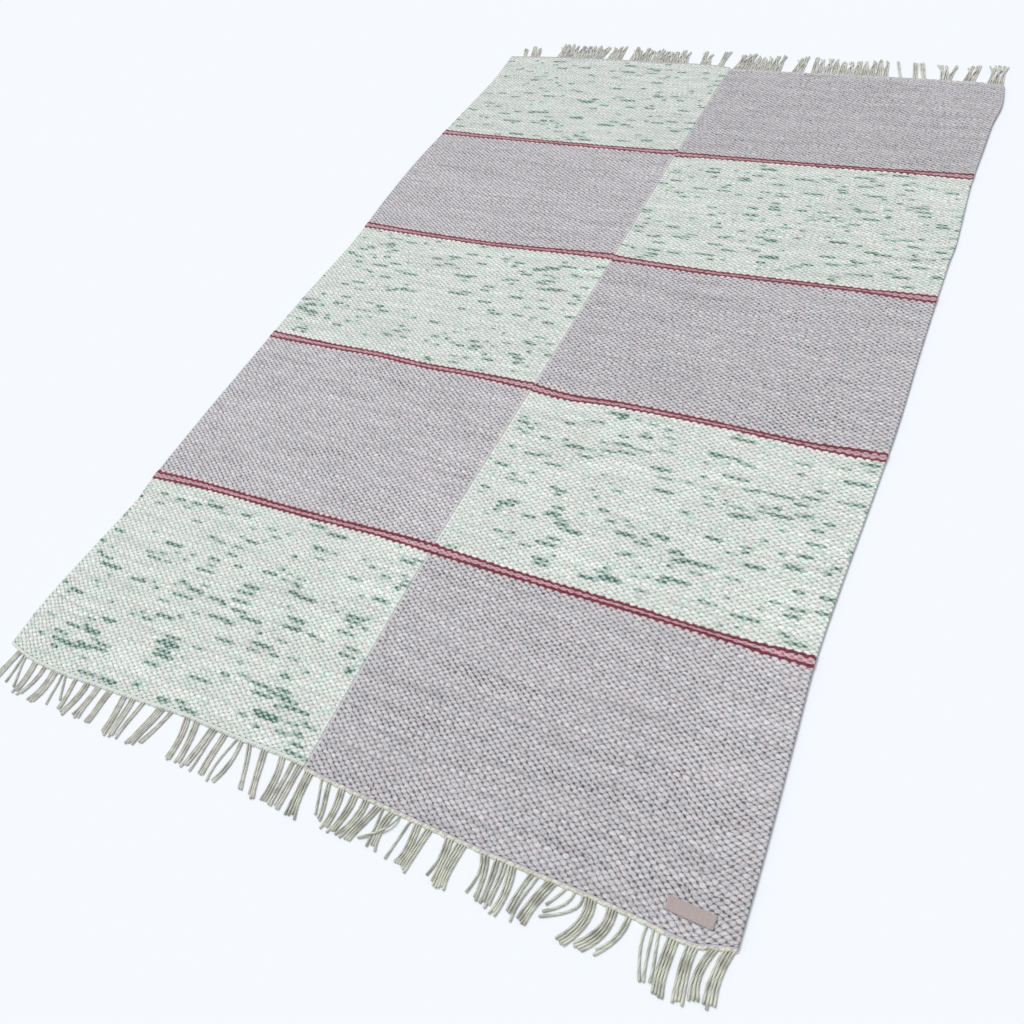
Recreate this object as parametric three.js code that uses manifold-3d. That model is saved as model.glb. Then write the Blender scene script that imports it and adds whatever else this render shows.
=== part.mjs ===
import * as THREE from 'three';
import Module from 'manifold-3d';

// Flat-woven cotton rug: two long strips side by side, a cream heading across each of their four ends
// with the warp ends tied off in front of it as fringe, and a small cloth label near one corner.
// Millimetres. X runs across the rug, Y from the near end to the far end, Z up from the floor.

// Sizes of the whole rug, fringe left out
const RUG_WIDTH = 1000;
const RUG_LENGTH = 1600;
const CLOTH_THICKNESS = 5;
const PIECE_GAP = 0.3;

// The near left corner of the straight-sided rug, which puts the origin under the middle of the real one
const CORNER_X = -497.5;
const CORNER_Y = -805;

// Cloth: the stiff outermost warps make a round selvedge with a shallow groove beside it
const SELVEDGE_WIDTH = 5;
const SELVEDGE_GROOVE = 0.6;
const EDGE_ROUNDING = 1.4;
const LONG_EDGE_STEP = 64;
const SHORT_EDGE_STEP = 20.6;

// Heading: a twined row of thick yarn that locks the last weft, one round bead over each pair of warps
const HEADING_WIDTH = 4.6;
const HEADING_HIGH = 4.6;
const HEADING_LOW = 3.7;
const BEAD_PITCH = 10.3;

// Fringe: every strand is one cord of warp, lying on the floor
const STRAND_WIDTH = 2.5;
const STRAND_HEIGHT = 2.6;
const STRAND_TOP_SHARE = 0.72;
const STRAND_PITCH_AT_ROOT = 3.2;
const STRAND_PITCH = 2.95;
const STRAND_ROOT_DEPTH = 2;
const STRAND_STEPS = 3;
const STRAIGHT_STRAND_STEPS = 2;
const STRAIGHT_WITHIN = 2;
const LENGTH_UNEVENNESS = 2.4;

// Label: a woven tab with its two short ends folded under and sewn down
const LABEL_LENGTH = 50;
const LABEL_WIDTH = 15;
const LABEL_THICKNESS = 0.8;
const LABEL_FOLD = 4;
const LABEL_FOLD_RISE = 0.4;
const LABEL_X = 954.5;
const LABEL_Y = 12.5;
const LABEL_TURN = -2;

// Turns rows of numbers into rows with named columns
function table(columns, rows) {
  const names = columns.split(' ');
  return rows.map((row) => Object.fromEntries(names.map((name, k) => [name, row[k]])));
}

// Long edges and the middle seam: how far each lies to the right of its straight line, by the distance
// from the near end
const LEFT_EDGE = table('at offset', [
  [0, 0], [70, -5], [185, 0], [265, 4.5], [305, -0.5], [435, -5], [580, -7], [740, -8.5],
  [920, -4.5], [1050, -13], [1190, -16], [1340, -8.5], [1420, -4], [1504, 0], [1600, -5],
]);
const SEAM = table('at offset', [
  [0, -4], [320, -11.5], [646, -8.5], [968, -7], [1290, -8], [1600, -5.5],
]);
const RIGHT_EDGE = table('at offset', [
  [0, 5.5], [100, 3], [220, -2], [320, -6], [440, -4], [600, 1], [710, 3.5], [870, 2.5],
  [1060, 4], [1110, 6], [1270, 1], [1393, 3.5], [1457, 5], [1524, 11], [1600, 4],
]);

// Short edges: how far the outer side of each heading lies beyond the straight end, by the distance from
// the left edge
const NEAR_LEFT_END = table('at offset', [
  [0, 1], [30, 8], [55, 11], [110, 12], [150, 10], [190, 8],
  [250, 5], [310, 1.5], [400, 2], [470, 0.5], [500, 2],
]);
const NEAR_RIGHT_END = table('at offset', [
  [490, 4], [530, 7], [600, 9.5], [700, 12.5], [780, 13],
  [850, 12.5], [900, 14], [965, 17], [985, 11], [1010, 4],
]);
const FAR_LEFT_END = table('at offset', [
  [-10, 11], [50, 15], [120, 18], [240, 19], [350, 16], [440, 16.5], [475, 12], [500, 7],
]);
const FAR_RIGHT_END = table('at offset', [
  [490, 3], [560, 2], [700, 2], [860, 1], [930, -1], [965, -2], [1010, -8],
]);

// Fringe, one row for each tuft: where across the rug it starts, is half way, and ends, how far it reaches,
// how many strands it has, how far apart their tips are, and how high it humps over the strands it crosses
const TUFT_COLUMNS = 'root middle tip reach strands fan hump';
const NEAR_LEFT_TUFTS = table(TUFT_COLUMNS, [
  [20, 18, 16, 48, 3, 3, 0], [30, 34, 36, 43, 1, 3, 0], [35, 43, 53, 42, 1, 3, 0],
  [55, 60, 60, 45, 3, 3, 0], [74, 75, 68, 44, 2, 3, 0], [93, 96, 91, 45, 4, 3.2, 0],
  [107, 113, 118, 44, 1, 3, 0], [113, 122, 131, 29, 1, 3, 0],
  [131, 136, 139, 44, 2, 3, 0], [151, 152, 147, 46, 3, 3, 0], [170, 170, 169, 44, 3, 5.5, 0],
  [190, 190, 190, 48, 3, 3, 0], [214, 219, 222, 51, 3, 3, 0], [228, 231, 232.5, 51, 3, 3, 0],
  [245, 243, 242, 50, 2, 3, 0], [274, 270, 265, 52, 4, 3.2, 0], [290, 285, 277, 50, 2, 3, 0],
  [316, 324, 326, 52, 3, 3, 0], [331, 338, 341, 52, 3, 3, 0], [356, 355, 352, 53, 3, 3, 0],
  [363, 363, 363, 54, 1, 3, 0], [376, 377, 379, 55, 3, 3, 0], [395, 390, 391, 55, 1, 3, 0],
  [402, 405, 398, 56, 2, 3, 0], [414, 427, 438, 53, 2, 3, 0], [436, 445, 455, 54, 3, 3.4, 0],
  [462, 470, 471, 55, 3, 3.2, 0], [478, 480, 481.5, 55, 2, 3.2, 0], [489, 490, 491, 53, 3, 3, 0],
]);
const NEAR_RIGHT_TUFTS = table(TUFT_COLUMNS, [
  [504, 507, 512, 51, 4, 4.4, 0], [523, 532, 540, 40, 1, 3, 0], [534, 541, 546, 40, 2, 3, 0],
  [552, 557, 556, 46, 3, 3, 0], [570, 571, 566, 46, 3, 3, 0], [586, 585, 576.5, 45, 3, 3, 0],
  [602, 595, 587, 48, 3, 3, 0], [609, 611, 613, 42, 1, 3, 0], [621, 618, 621, 42, 3, 3, 0],
  [631, 623, 597, 39, 1, 3, 3], [645, 642, 639, 47, 1, 3, 0], [655, 657, 653, 47, 3, 3, 0],
  [669, 666, 663, 48, 3, 3, 0], [691, 694, 689, 45, 1, 3, 0], [697, 699, 700, 47, 2, 3, 0],
  [710, 708, 709.5, 48, 4, 3, 0], [734, 741, 736, 44, 1, 3, 0], [741, 747, 749, 43, 2, 3, 0],
  [753, 756, 757, 44, 2, 3, 0], [762, 764, 763.5, 46, 2, 3, 0], [771, 775, 772, 50, 3, 3, 0],
  [793, 788, 786, 44, 2, 3, 0], [800, 794, 792, 48, 1, 3, 0], [815, 807, 802, 46, 4, 3.2, 0],
  [831, 825, 817, 24, 1, 3, 0], [841, 835, 814, 31, 1, 3, 0], [850, 844, 813, 36, 1, 3, 0],
  [859, 859, 846, 48, 4, 3.2, 0], [882, 880, 864, 45, 4, 3.2, 0], [900, 896, 881, 43, 2, 3, 0],
  [919, 921, 929, 47, 1, 3, 0], [926, 929, 934, 50, 1, 3, 0], [932, 936, 939, 46, 1, 3, 0],
  [946, 946, 949, 51, 4, 3.2, 0], [965, 965, 968, 50, 4, 3, 0], [984, 978, 981, 48, 3, 4, 0],
  [998, 994, 996, 53, 4, 3.4, 0],
]);
const FAR_LEFT_TUFTS = table(TUFT_COLUMNS, [
  [25, 19, 14, 35, 3, 3, 0], [44, 36, 30, 48, 3, 3, 0],
  [58, 53, 48, 32, 2, 3, 0], [104, 103, 99, 60, 2, 3, 0],
  [113, 112, 108, 56, 2, 3, 0], [126, 124, 119, 60, 2, 3.4, 0], [140, 137, 132, 48, 2, 3.4, 0],
  [151, 149, 146, 54, 2, 3.4, 0], [164, 162, 159, 56, 2, 3.4, 0], [178, 175, 172, 56, 2, 3, 0],
  [191, 188, 184, 55, 2, 3, 0], [204, 205, 206, 54, 3, 3, 0], [221, 222, 222, 50, 2, 3.4, 0],
  [235, 234, 233, 56, 2, 3, 0], [248, 246, 243, 58, 2, 3, 0], [274, 273, 272, 57, 3, 3, 0],
  [286, 285, 283, 45, 2, 3, 0], [300, 298, 296, 56, 3, 3, 0], [313, 310, 307, 48, 2, 3, 0],
  [328, 330, 331, 55, 3, 3, 0], [343, 343, 342, 47, 2, 3.4, 0], [356, 355, 353, 48, 2, 3, 0],
  [370, 367, 364, 47, 3, 3, 0], [385, 381, 377, 55, 3, 3, 0], [398, 393, 389, 43, 2, 3, 0],
  [430, 428, 425, 53, 3, 3, 0], [446, 442, 438, 40, 2, 3, 0],
  [470, 470, 470, 60, 4, 4.4, 0],
]);
const FAR_RIGHT_TUFTS = table(TUFT_COLUMNS, [
  [501, 506, 510, 58, 2, 3, 0], [515, 517, 519, 66, 2, 3, 0], [530, 529, 528, 66, 2, 3, 0],
  [545, 543, 541, 57, 2, 3, 0], [557, 555, 553, 52, 2, 3.4, 0], [568, 567, 565, 54, 2, 3.4, 0],
  [580, 578, 577, 64, 3, 3, 0], [593, 591, 589, 66, 2, 3, 0], [621, 624, 626, 60, 2, 3, 0],
  [635, 635, 634, 64, 3, 3, 0], [660, 657, 654, 62, 3, 3, 0], [674, 670, 667, 54, 2, 3, 0],
  [688, 685, 682, 61, 2, 3, 0], [702, 698, 694, 58, 2, 3, 0], [716, 713, 710, 50, 3, 3, 0],
  [730, 727, 724, 50, 2, 3.4, 0], [744, 741, 738, 56, 3, 3, 0], [758, 754, 750, 54, 2, 3, 0],
  [771, 768, 764, 60, 2, 3, 0], [785, 780, 776, 64, 2, 3, 0], [799, 793, 788, 60, 2, 3, 0],
  [824, 815, 807, 62, 2, 3, 0], [849, 845, 840, 58, 3, 3, 0], [866, 858, 851, 60, 3, 3, 0],
  [896, 892, 887, 57, 2, 3, 0], [903, 901, 897, 55, 1, 3, 0], [909, 911, 914, 58, 2, 3, 0],
  [934, 939, 942, 58, 2, 3, 0], [949, 951, 952, 61, 3, 3, 0], [977, 979, 979, 60, 2, 3, 0],
  [989, 988, 987, 66, 2, 3, 0], [1000, 998, 995, 70, 2, 3, 0],
]);

// Smooth curve through a table's offsets: between two rows it is the cubic that has, at each row,
// the slope of the line from the row before to the row after
function offsetAt(rows, at) {
  const place = THREE.MathUtils.clamp(at, rows[0].at, rows[rows.length - 1].at);
  const next = Math.max(1, rows.findIndex((row) => row.at >= place));
  const a = rows[next - 1];
  const b = rows[next];
  const before = rows[next - 2] ?? a;
  const after = rows[next + 1] ?? b;
  const span = b.at - a.at;
  const slopeA = (b.offset - before.offset) / (b.at - before.at);
  const slopeB = (after.offset - a.offset) / (after.at - a.at);
  const t = (place - a.at) / span;
  const rest = 1 - t;
  const values = a.offset * (1 + 2 * t) * rest * rest + b.offset * (3 - 2 * t) * t * t;
  return values + span * (slopeA * t * rest * rest - slopeB * rest * t * t);
}

// Edge curves in the plan of the straight-sided rug, its near left corner at 0, 0
const leftEdge = (y) => offsetAt(LEFT_EDGE, y);
const seam = (y) => RUG_WIDTH / 2 + offsetAt(SEAM, y);
const rightEdge = (y) => RUG_WIDTH + offsetAt(RIGHT_EDGE, y);
const nearEnd = (rows) => (x) => -offsetAt(rows, x);
const farEnd = (rows) => (x) => RUG_LENGTH + offsetAt(rows, x);

// A closed surface over a row of cross sections. Each section lists its lower points from left to right,
// as seen along the run, and then its upper points from right to left; the two end sections are closed off.
function loft(sections) {
  const count = sections[0].length;
  const last = (sections.length - 1) * count;
  const index = [];
  const quad = (a, b, c, d) => index.push(a, b, c, a, c, d);
  for (let i = 0; i < last; i += count) {
    for (let j = 0; j < count; j++) {
      const k = (j + 1) % count;
      quad(i + j, i + count + j, i + count + k, i + k);
    }
  }
  for (let j = 0; j < count / 2 - 1; j++) {
    quad(j, j + 1, count - 2 - j, count - 1 - j);
    quad(last + count - 1 - j, last + count - 2 - j, last + j + 1, last + j);
  }
  const geometry = new THREE.BufferGeometry().setFromPoints(sections.flat());
  geometry.setIndex(index);
  return geometry;
}

const wasm = await Module();
wasm.setup();

// Joins closed surfaces into one
function join(geometries) {
  const solids = geometries.map((geometry) => new wasm.Manifold(new wasm.Mesh({
    numProp: 3,
    vertProperties: geometry.getAttribute('position').array,
    triVerts: Uint32Array.from(geometry.getIndex().array),
  })));
  const { vertProperties, triVerts } = solids.reduce((whole, solid) => whole.add(solid)).getMesh();
  const geometry = new THREE.BufferGeometry();
  geometry.setAttribute('position', new THREE.BufferAttribute(vertProperties, 3));
  geometry.setIndex(new THREE.BufferAttribute(triVerts, 1));
  return geometry;
}

// A curve across the rug as straight pieces of equal run, so that cloth and heading follow it side by side
function faceted(curve, from, to) {
  const count = Math.round((to - from) / SHORT_EDGE_STEP);
  const share = Array.from({ length: count + 1 }, (_, k) => k / count);
  const stations = share.map((t) => THREE.MathUtils.lerp(from, to, t));
  const at = (x) => {
    const place = THREE.MathUtils.clamp((x - from) / (to - from) * count, 0, count);
    const k = Math.min(Math.floor(place), count - 1);
    return THREE.MathUtils.lerp(curve(stations[k]), curve(stations[k + 1]), place - k);
  };
  return { from, to, stations, at };
}

// The outline drawn in by the same distance all round
function inset(outline, distance) {
  return outline.map((point, i) => {
    const before = outline.at(i - 1);
    const after = outline[(i + 1) % outline.length];
    const normals = [[before, point], [point, after]].map(([a, b]) => {
      const run = b.clone().sub(a).normalize();
      return new THREE.Vector2(-run.y, run.x);
    });
    const share = distance / (1 + normals[0].dot(normals[1]));
    return point.clone().addScaledVector(normals[0], share).addScaledVector(normals[1], share);
  });
}

// One woven strip between two long edges and two ends: its outline carried up over a rounded edge,
// down into the groove beside the selvedge, and up to the flat of the cloth
function stripGeometry(left, right, near, far) {
  const rows = Math.round(RUG_LENGTH / LONG_EDGE_STEP);
  const along = Array.from({ length: rows - 1 }, (_, k) => RUG_LENGTH * (k + 1) / rows);
  const outline = [
    ...near.stations.map((x) => new THREE.Vector2(x, near.at(x) + HEADING_WIDTH + PIECE_GAP)),
    ...along.map((y) => new THREE.Vector2(right(y), y)),
    ...far.stations.toReversed().map((x) => new THREE.Vector2(x, far.at(x) - HEADING_WIDTH - PIECE_GAP)),
    ...along.toReversed().map((y) => new THREE.Vector2(left(y), y)),
  ];
  const rings = [
    { drawnIn: EDGE_ROUNDING, z: 0 },
    { drawnIn: 0, z: EDGE_ROUNDING },
    { drawnIn: 0, z: CLOTH_THICKNESS - EDGE_ROUNDING },
    { drawnIn: EDGE_ROUNDING, z: CLOTH_THICKNESS },
    { drawnIn: SELVEDGE_WIDTH, z: CLOTH_THICKNESS - SELVEDGE_GROOVE },
    { drawnIn: SELVEDGE_WIDTH * 1.4, z: CLOTH_THICKNESS },
  ];
  const count = outline.length;
  const last = (rings.length - 1) * count;
  const points = rings.flatMap(({ drawnIn, z }) => (
    inset(outline, drawnIn).map((point) => new THREE.Vector3(point.x, point.y, z))
  ));
  const index = [];
  for (let i = 0; i < last; i += count) {
    for (let j = 0; j < count; j++) {
      const k = (j + 1) % count;
      index.push(i + j, i + k, i + count + k, i + j, i + count + k, i + count + j);
    }
  }
  for (const [a, b, c] of THREE.ShapeUtils.triangulateShape(outline, [])) {
    index.push(a, c, b, last + a, last + b, last + c);
  }
  const geometry = new THREE.BufferGeometry().setFromPoints(points);
  geometry.setIndex(index);
  return geometry;
}

// The heading along one end: low between two pairs of warps, high over each pair
function headingGeometry(end, outward) {
  const steps = end.stations.length - 1;
  const halves = 2 * Math.round(SHORT_EDGE_STEP / BEAD_PITCH);
  const sections = [];
  for (let step = 0; step <= steps * halves; step++) {
    const x = THREE.MathUtils.lerp(end.from, end.to, step / (steps * halves));
    const high = step % 2 ? HEADING_HIGH : HEADING_LOW;
    const sides = [end.at(x), end.at(x) - outward * HEADING_WIDTH].sort((a, b) => b - a);
    const points = [[sides[0], 0], [sides[1], 0], [sides[1], high], [sides[0], high]];
    sections.push(points.map(([y, z]) => new THREE.Vector3(x, y, z)));
  }
  return loft(sections);
}

// A steady uneven number from -1 to 1 for each whole number
const uneven = (n) => Math.sin(n * 12.9898 + Math.cos(n * 4.1414) * 7.3);

// The strands of one tuft. They run side by side along the parabola through the tuft's root, half-way point
// and tip, and each stops at a length of its own. The section is a low trapezium that stands on the floor,
// or on the strands that a humped one crosses.
function tuftGeometries(tuft, number, end, outward) {
  const { root, middle, tip, reach, strands, fan, hump } = tuft;
  const pitchAt = (run) => STRAND_PITCH * Math.hypot(run, reach) / reach;
  const spread = {
    root: STRAND_PITCH_AT_ROOT,
    middle: pitchAt(tip - root),
    tip: Math.max(fan, pitchAt(root - 4 * middle + 3 * tip)),
  };
  const straight = Math.abs(middle - (root + tip) / 2) < STRAIGHT_WITHIN && hump === 0;
  const steps = straight ? STRAIGHT_STRAND_STEPS : STRAND_STEPS;
  return Array.from({ length: strands }, (_, k) => {
    const lane = k - (strands - 1) / 2;
    const from = root + lane * spread.root;
    const half = middle + lane * spread.middle;
    const to = tip + lane * spread.tip;
    const endY = end.at(from);
    const curve = (t) => new THREE.Vector2(
      from * (1 - t) * (1 - 2 * t) + half * 4 * t * (1 - t) + to * t * (2 * t - 1),
      endY + outward * t * reach,
    );
    const start = -STRAND_ROOT_DEPTH / reach;
    const stop = 1 + LENGTH_UNEVENNESS * uneven(number * 9 + k) / reach;
    const sections = [];
    for (let step = 0; step <= steps; step++) {
      const t = THREE.MathUtils.lerp(start, stop, step / steps);
      const centre = curve(t);
      const ahead = curve(t + 0.01).sub(curve(t - 0.01)).normalize();
      const floor = hump * Math.sin(Math.PI * step / steps);
      const foot = STRAND_WIDTH / 2;
      const top = foot * STRAND_TOP_SHARE;
      const points = [[-foot, 0], [foot, 0], [top, STRAND_HEIGHT], [-top, STRAND_HEIGHT]];
      sections.push(points.map(([side, z]) => new THREE.Vector3(
        centre.x + ahead.y * side,
        centre.y - ahead.x * side,
        floor + z,
      )));
    }
    return loft(sections);
  });
}

// A heading with its tufts grown out of it
function fringeGeometry(end, outward, tufts) {
  const strands = tufts.flatMap((tuft, number) => tuftGeometries(tuft, number, end, outward));
  return join([headingGeometry(end, outward), ...strands]);
}

// The label: a thin tab, thicker over the fold at each short end
function labelGeometry() {
  const half = LABEL_LENGTH / 2;
  const stations = [
    [-half, 0.5], [-half + 0.6, 1], [-half + LABEL_FOLD, 1], [-half + LABEL_FOLD + 1, 0],
    [half - LABEL_FOLD - 1, 0], [half - LABEL_FOLD, 1], [half - 0.6, 1], [half, 0.5],
  ];
  return loft(stations.map(([x, fold]) => {
    const high = LABEL_THICKNESS + fold * LABEL_FOLD_RISE;
    const side = LABEL_WIDTH / 2;
    const points = [[side, 0], [-side, 0], [-side, high], [side, high]];
    return points.map(([y, z]) => new THREE.Vector3(x, y, z));
  }));
}

// Where each strip starts and stops across the rug, with half of the gap on each side of the seam
const seamLeft = (y) => seam(y) - PIECE_GAP / 2;
const seamRight = (y) => seam(y) + PIECE_GAP / 2;
const ends = {
  nearLeft: faceted(nearEnd(NEAR_LEFT_END), leftEdge(0), seamLeft(0)),
  nearRight: faceted(nearEnd(NEAR_RIGHT_END), seamRight(0), rightEdge(0)),
  farLeft: faceted(farEnd(FAR_LEFT_END), leftEdge(RUG_LENGTH), seamLeft(RUG_LENGTH)),
  farRight: faceted(farEnd(FAR_RIGHT_END), seamRight(RUG_LENGTH), rightEdge(RUG_LENGTH)),
};

const mintCotton = new THREE.MeshStandardMaterial({ color: 0xd2ddd5, roughness: 0.95, metalness: 0 });
const mauveCotton = new THREE.MeshStandardMaterial({ color: 0xb9b1bb, roughness: 0.95, metalness: 0 });
const creamYarn = new THREE.MeshStandardMaterial({ color: 0xd8d6c4, roughness: 0.95, metalness: 0 });
const labelCloth = new THREE.MeshStandardMaterial({ color: 0xbfadb0, roughness: 0.85, metalness: 0 });

const rug = new THREE.Group();
rug.position.set(CORNER_X, CORNER_Y, 0);

function addPiece(name, geometry, material) {
  geometry.computeVertexNormals();
  const mesh = new THREE.Mesh(geometry, material);
  mesh.name = name;
  rug.add(mesh);
  return mesh;
}

addPiece('left_strip', stripGeometry(leftEdge, seamLeft, ends.nearLeft, ends.farLeft), mintCotton);
addPiece('right_strip', stripGeometry(seamRight, rightEdge, ends.nearRight, ends.farRight), mauveCotton);
addPiece('near_left_fringe', fringeGeometry(ends.nearLeft, -1, NEAR_LEFT_TUFTS), creamYarn);
addPiece('near_right_fringe', fringeGeometry(ends.nearRight, -1, NEAR_RIGHT_TUFTS), creamYarn);
addPiece('far_left_fringe', fringeGeometry(ends.farLeft, 1, FAR_LEFT_TUFTS), creamYarn);
addPiece('far_right_fringe', fringeGeometry(ends.farRight, 1, FAR_RIGHT_TUFTS), creamYarn);

const label = addPiece('label', labelGeometry(), labelCloth);
label.position.set(LABEL_X, LABEL_Y, CLOTH_THICKNESS + PIECE_GAP);
label.rotation.z = THREE.MathUtils.degToRad(LABEL_TURN);

export default rug;
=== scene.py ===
import bpy
import numpy as np
from mathutils import Matrix, Vector


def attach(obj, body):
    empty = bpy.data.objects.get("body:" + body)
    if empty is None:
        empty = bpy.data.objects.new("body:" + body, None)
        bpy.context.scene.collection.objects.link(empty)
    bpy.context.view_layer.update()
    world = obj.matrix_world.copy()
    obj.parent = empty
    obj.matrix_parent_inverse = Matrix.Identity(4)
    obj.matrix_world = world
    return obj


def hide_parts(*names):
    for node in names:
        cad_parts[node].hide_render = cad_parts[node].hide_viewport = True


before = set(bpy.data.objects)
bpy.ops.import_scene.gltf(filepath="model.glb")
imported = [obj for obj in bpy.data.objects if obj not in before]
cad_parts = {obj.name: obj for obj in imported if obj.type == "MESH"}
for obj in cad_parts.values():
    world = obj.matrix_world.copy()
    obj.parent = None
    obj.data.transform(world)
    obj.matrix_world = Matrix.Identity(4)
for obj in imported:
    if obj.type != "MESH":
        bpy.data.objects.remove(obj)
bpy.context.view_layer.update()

# Woven strips
# Two long strips of thick cotton flatweave lie side by side. Each weft passes over one pair of warps and
# under the next, so it shows as a row of round beads, and the rows are beaten down hard on each other.
# Sizes are millimetres in the plan of the straight-sided rug, whose near left corner is at 0, 0.
MILLIMETRE = 0.001
CORNER = np.array([-497.5, -805.0, 0.0])
RUG_WIDTH = 1000.0
RUG_LENGTH = 1600.0
HEADING_WIDTH = 4.6
PIECE_GAP = 0.3

LEFT_EDGE = [
    (0, 0), (70, -5), (185, 0), (265, 4.5), (305, -0.5), (435, -5), (580, -7), (740, -8.5),
    (920, -4.5), (1050, -13), (1190, -16), (1340, -8.5), (1420, -4), (1504, 0), (1600, -5),
]
SEAM = [(0, -4), (320, -11.5), (646, -8.5), (968, -7), (1290, -8), (1600, -5.5)]
RIGHT_EDGE = [
    (0, 5.5), (100, 3), (220, -2), (320, -6), (440, -4), (600, 1), (710, 3.5), (870, 2.5),
    (1060, 4), (1110, 6), (1270, 1), (1393, 3.5), (1457, 5), (1524, 11), (1600, 4),
]
NEAR_LEFT_END = [
    (0, 1), (30, 8), (55, 11), (110, 12), (150, 10), (190, 8),
    (250, 5), (310, 1.5), (400, 2), (470, 0.5), (500, 2),
]
NEAR_RIGHT_END = [
    (490, 4), (530, 7), (600, 9.5), (700, 12.5), (780, 13),
    (850, 12.5), (900, 14), (965, 17), (985, 11), (1010, 4),
]
FAR_LEFT_END = [(-10, 11), (50, 15), (120, 18), (240, 19), (350, 16), (440, 16.5), (475, 12), (500, 7)]
FAR_RIGHT_END = [(490, 3), (560, 2), (700, 2), (860, 1), (930, -1), (965, -2), (1010, -8)]

# The four double stripes of each strip: where each lies along the rug, how far it wanders from there by
# the distance across, and how far apart its two dark lines are
STRIPE_PLACES = [322, 646, 968, 1290]
LEFT_STRIPES = [
    [(0, -5), (90, 0), (265, 1), (426, 5), (490, 4)],
    [(0, 3), (116, 2), (210, 4), (304, 0), (390, 2), (490, 1)],
    [(0, 0), (98, -4), (250, -7), (344, -4), (411, 0), (490, 3)],
    [(0, 3), (90, 0), (466, -1), (490, 2)],
]
RIGHT_STRIPES = [
    [(490, 4), (628, 1), (760, 0), (900, -2), (992, -1)],
    [(490, -1), (556, -6), (630, -1), (773, -1), (905, -5), (998, -1)],
    [(490, 0), (584, -3), (666, -4), (743, -2), (888, 2), (1002, 4)],
    [(490, -6), (536, -4), (793, -1), (891, 2), (998, 3)],
]
LEFT_SPREADS = [(0, 12), (60, 10), (150, 8), (380, 8), (440, 10), (490, 12.5)]
RIGHT_SPREADS = [(490, 12.5), (560, 9.5), (640, 8), (860, 6), (920, 8), (960, 11.5), (1000, 12.5)]

# The teal lengths of the mint yarn that show most, by how strong they are, from 2 to 3: across and along
# the rug, and how long each is. Fainter ones are scattered evenly, so many of each strength to a strip.
LEFT_FLECKS = {
    3: [
        (138, 292, 34), (120, 215, 34), (350, 117, 38), (50, 154, 36), (222, 77, 42), (228, 57, 36),
        (84, 30, 38), (414, 39, 44), (414, 34, 36), (255, 866, 36), (285, 1593, 26), (350, 1578, 18),
        (346, 1505, 14), (387, 1478, 22), (331, 1457, 30), (250, 1382, 32), (423, 1322, 24),
        (149, 1307, 34),
    ],
    2.5: [
        (292, 219, 26), (350, 303, 36), (469, 297, 28), (464, 231, 28), (280, 191, 32), (366, 199, 34),
        (372, 154, 30), (446, 197, 32), (310, 145, 40), (190, 110, 32), (31, 103, 28), (204, 160, 32),
        (223, 65, 26), (444, 55, 46), (77, 923, 26), (216, 912, 28), (427, 930, 36), (402, 922, 30),
        (384, 912, 32), (216, 893, 26), (88, 861, 34), (410, 864, 24), (430, 870, 26), (374, 833, 28),
        (265, 822, 28), (483, 809, 18), (326, 810, 28), (363, 788, 16), (453, 786, 24), (363, 707, 26),
        (431, 705, 24), (120, 1597, 36), (190, 1575, 26), (137, 1568, 26), (290, 1567, 30), (490, 1572, 18),
        (290, 1500, 24), (438, 1467, 18), (157, 1454, 32), (247, 1443, 34), (456, 1433, 24),
        (158, 1393, 32), (358, 1370, 22), (487, 1370, 22), (320, 1362, 38), (463, 1359, 22),
        (298, 1307, 30),
    ],
    2: [
        (196, 294, 25), (42, 289, 18), (219, 226, 22), (313, 310, 32), (338, 275, 24), (411, 249, 27),
        (277, 179, 34), (280, 167, 34), (286, 153, 26), (372, 169, 34), (446, 188, 30), (447, 172, 30),
        (468, 155, 28), (466, 143, 26), (266, 133, 38), (243, 157, 34), (296, 108, 34), (38, 163, 22),
        (106, 187, 28), (108, 147, 32), (199, 192, 28), (192, 145, 40), (225, 86, 28), (220, 43, 30),
        (296, 49, 32), (113, 78, 30), (70, 52, 30), (102, 57, 34), (60, 38, 32), (134, 45, 28),
        (130, 37, 38), (142, 3, 34), (178, 5, 32), (296, 12, 20), (314, 4, 30), (380, 68, 36),
        (412, 67, 36), (430, 63, 30), (392, 58, 38), (473, 18, 26), (472, 8, 26), (112, 934, 28),
        (243, 926, 28), (355, 902, 16), (186, 903, 22), (35, 877, 24), (115, 872, 26), (276, 872, 16),
        (348, 877, 28), (477, 883, 18), (473, 857, 18), (473, 842, 20), (157, 850, 38), (316, 851, 24),
        (313, 839, 20), (283, 830, 20), (431, 820, 22), (75, 810, 32), (165, 808, 36), (143, 803, 10),
        (293, 787, 18), (347, 793, 16), (146, 758, 14), (68, 752, 26), (88, 746, 10), (40, 737, 12),
        (222, 747, 8), (265, 744, 22), (393, 747, 8), (447, 735, 22), (112, 712, 20), (211, 708, 22),
        (283, 714, 16), (385, 696, 8), (38, 675, 28), (80, 1587, 12), (108, 1545, 10), (272, 1603, 14),
        (335, 1585, 18), (365, 1603, 18), (400, 1555, 8), (488, 1550, 8), (22, 1523, 10), (130, 1518, 12),
        (153, 1507, 12), (447, 1507, 20), (477, 1527, 8), (217, 1480, 16), (420, 1483, 16), (473, 1472, 10),
        (480, 1458, 12), (107, 1462, 32), (83, 1443, 26), (288, 1433, 22), (88, 1380, 34), (420, 1383, 28),
        (484, 1392, 28), (333, 1377, 26), (170, 1355, 22), (43, 1363, 8), (223, 1342, 8), (287, 1331, 10),
        (13, 1318, 22), (282, 1318, 26), (372, 1313, 22),
    ],
}
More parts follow.
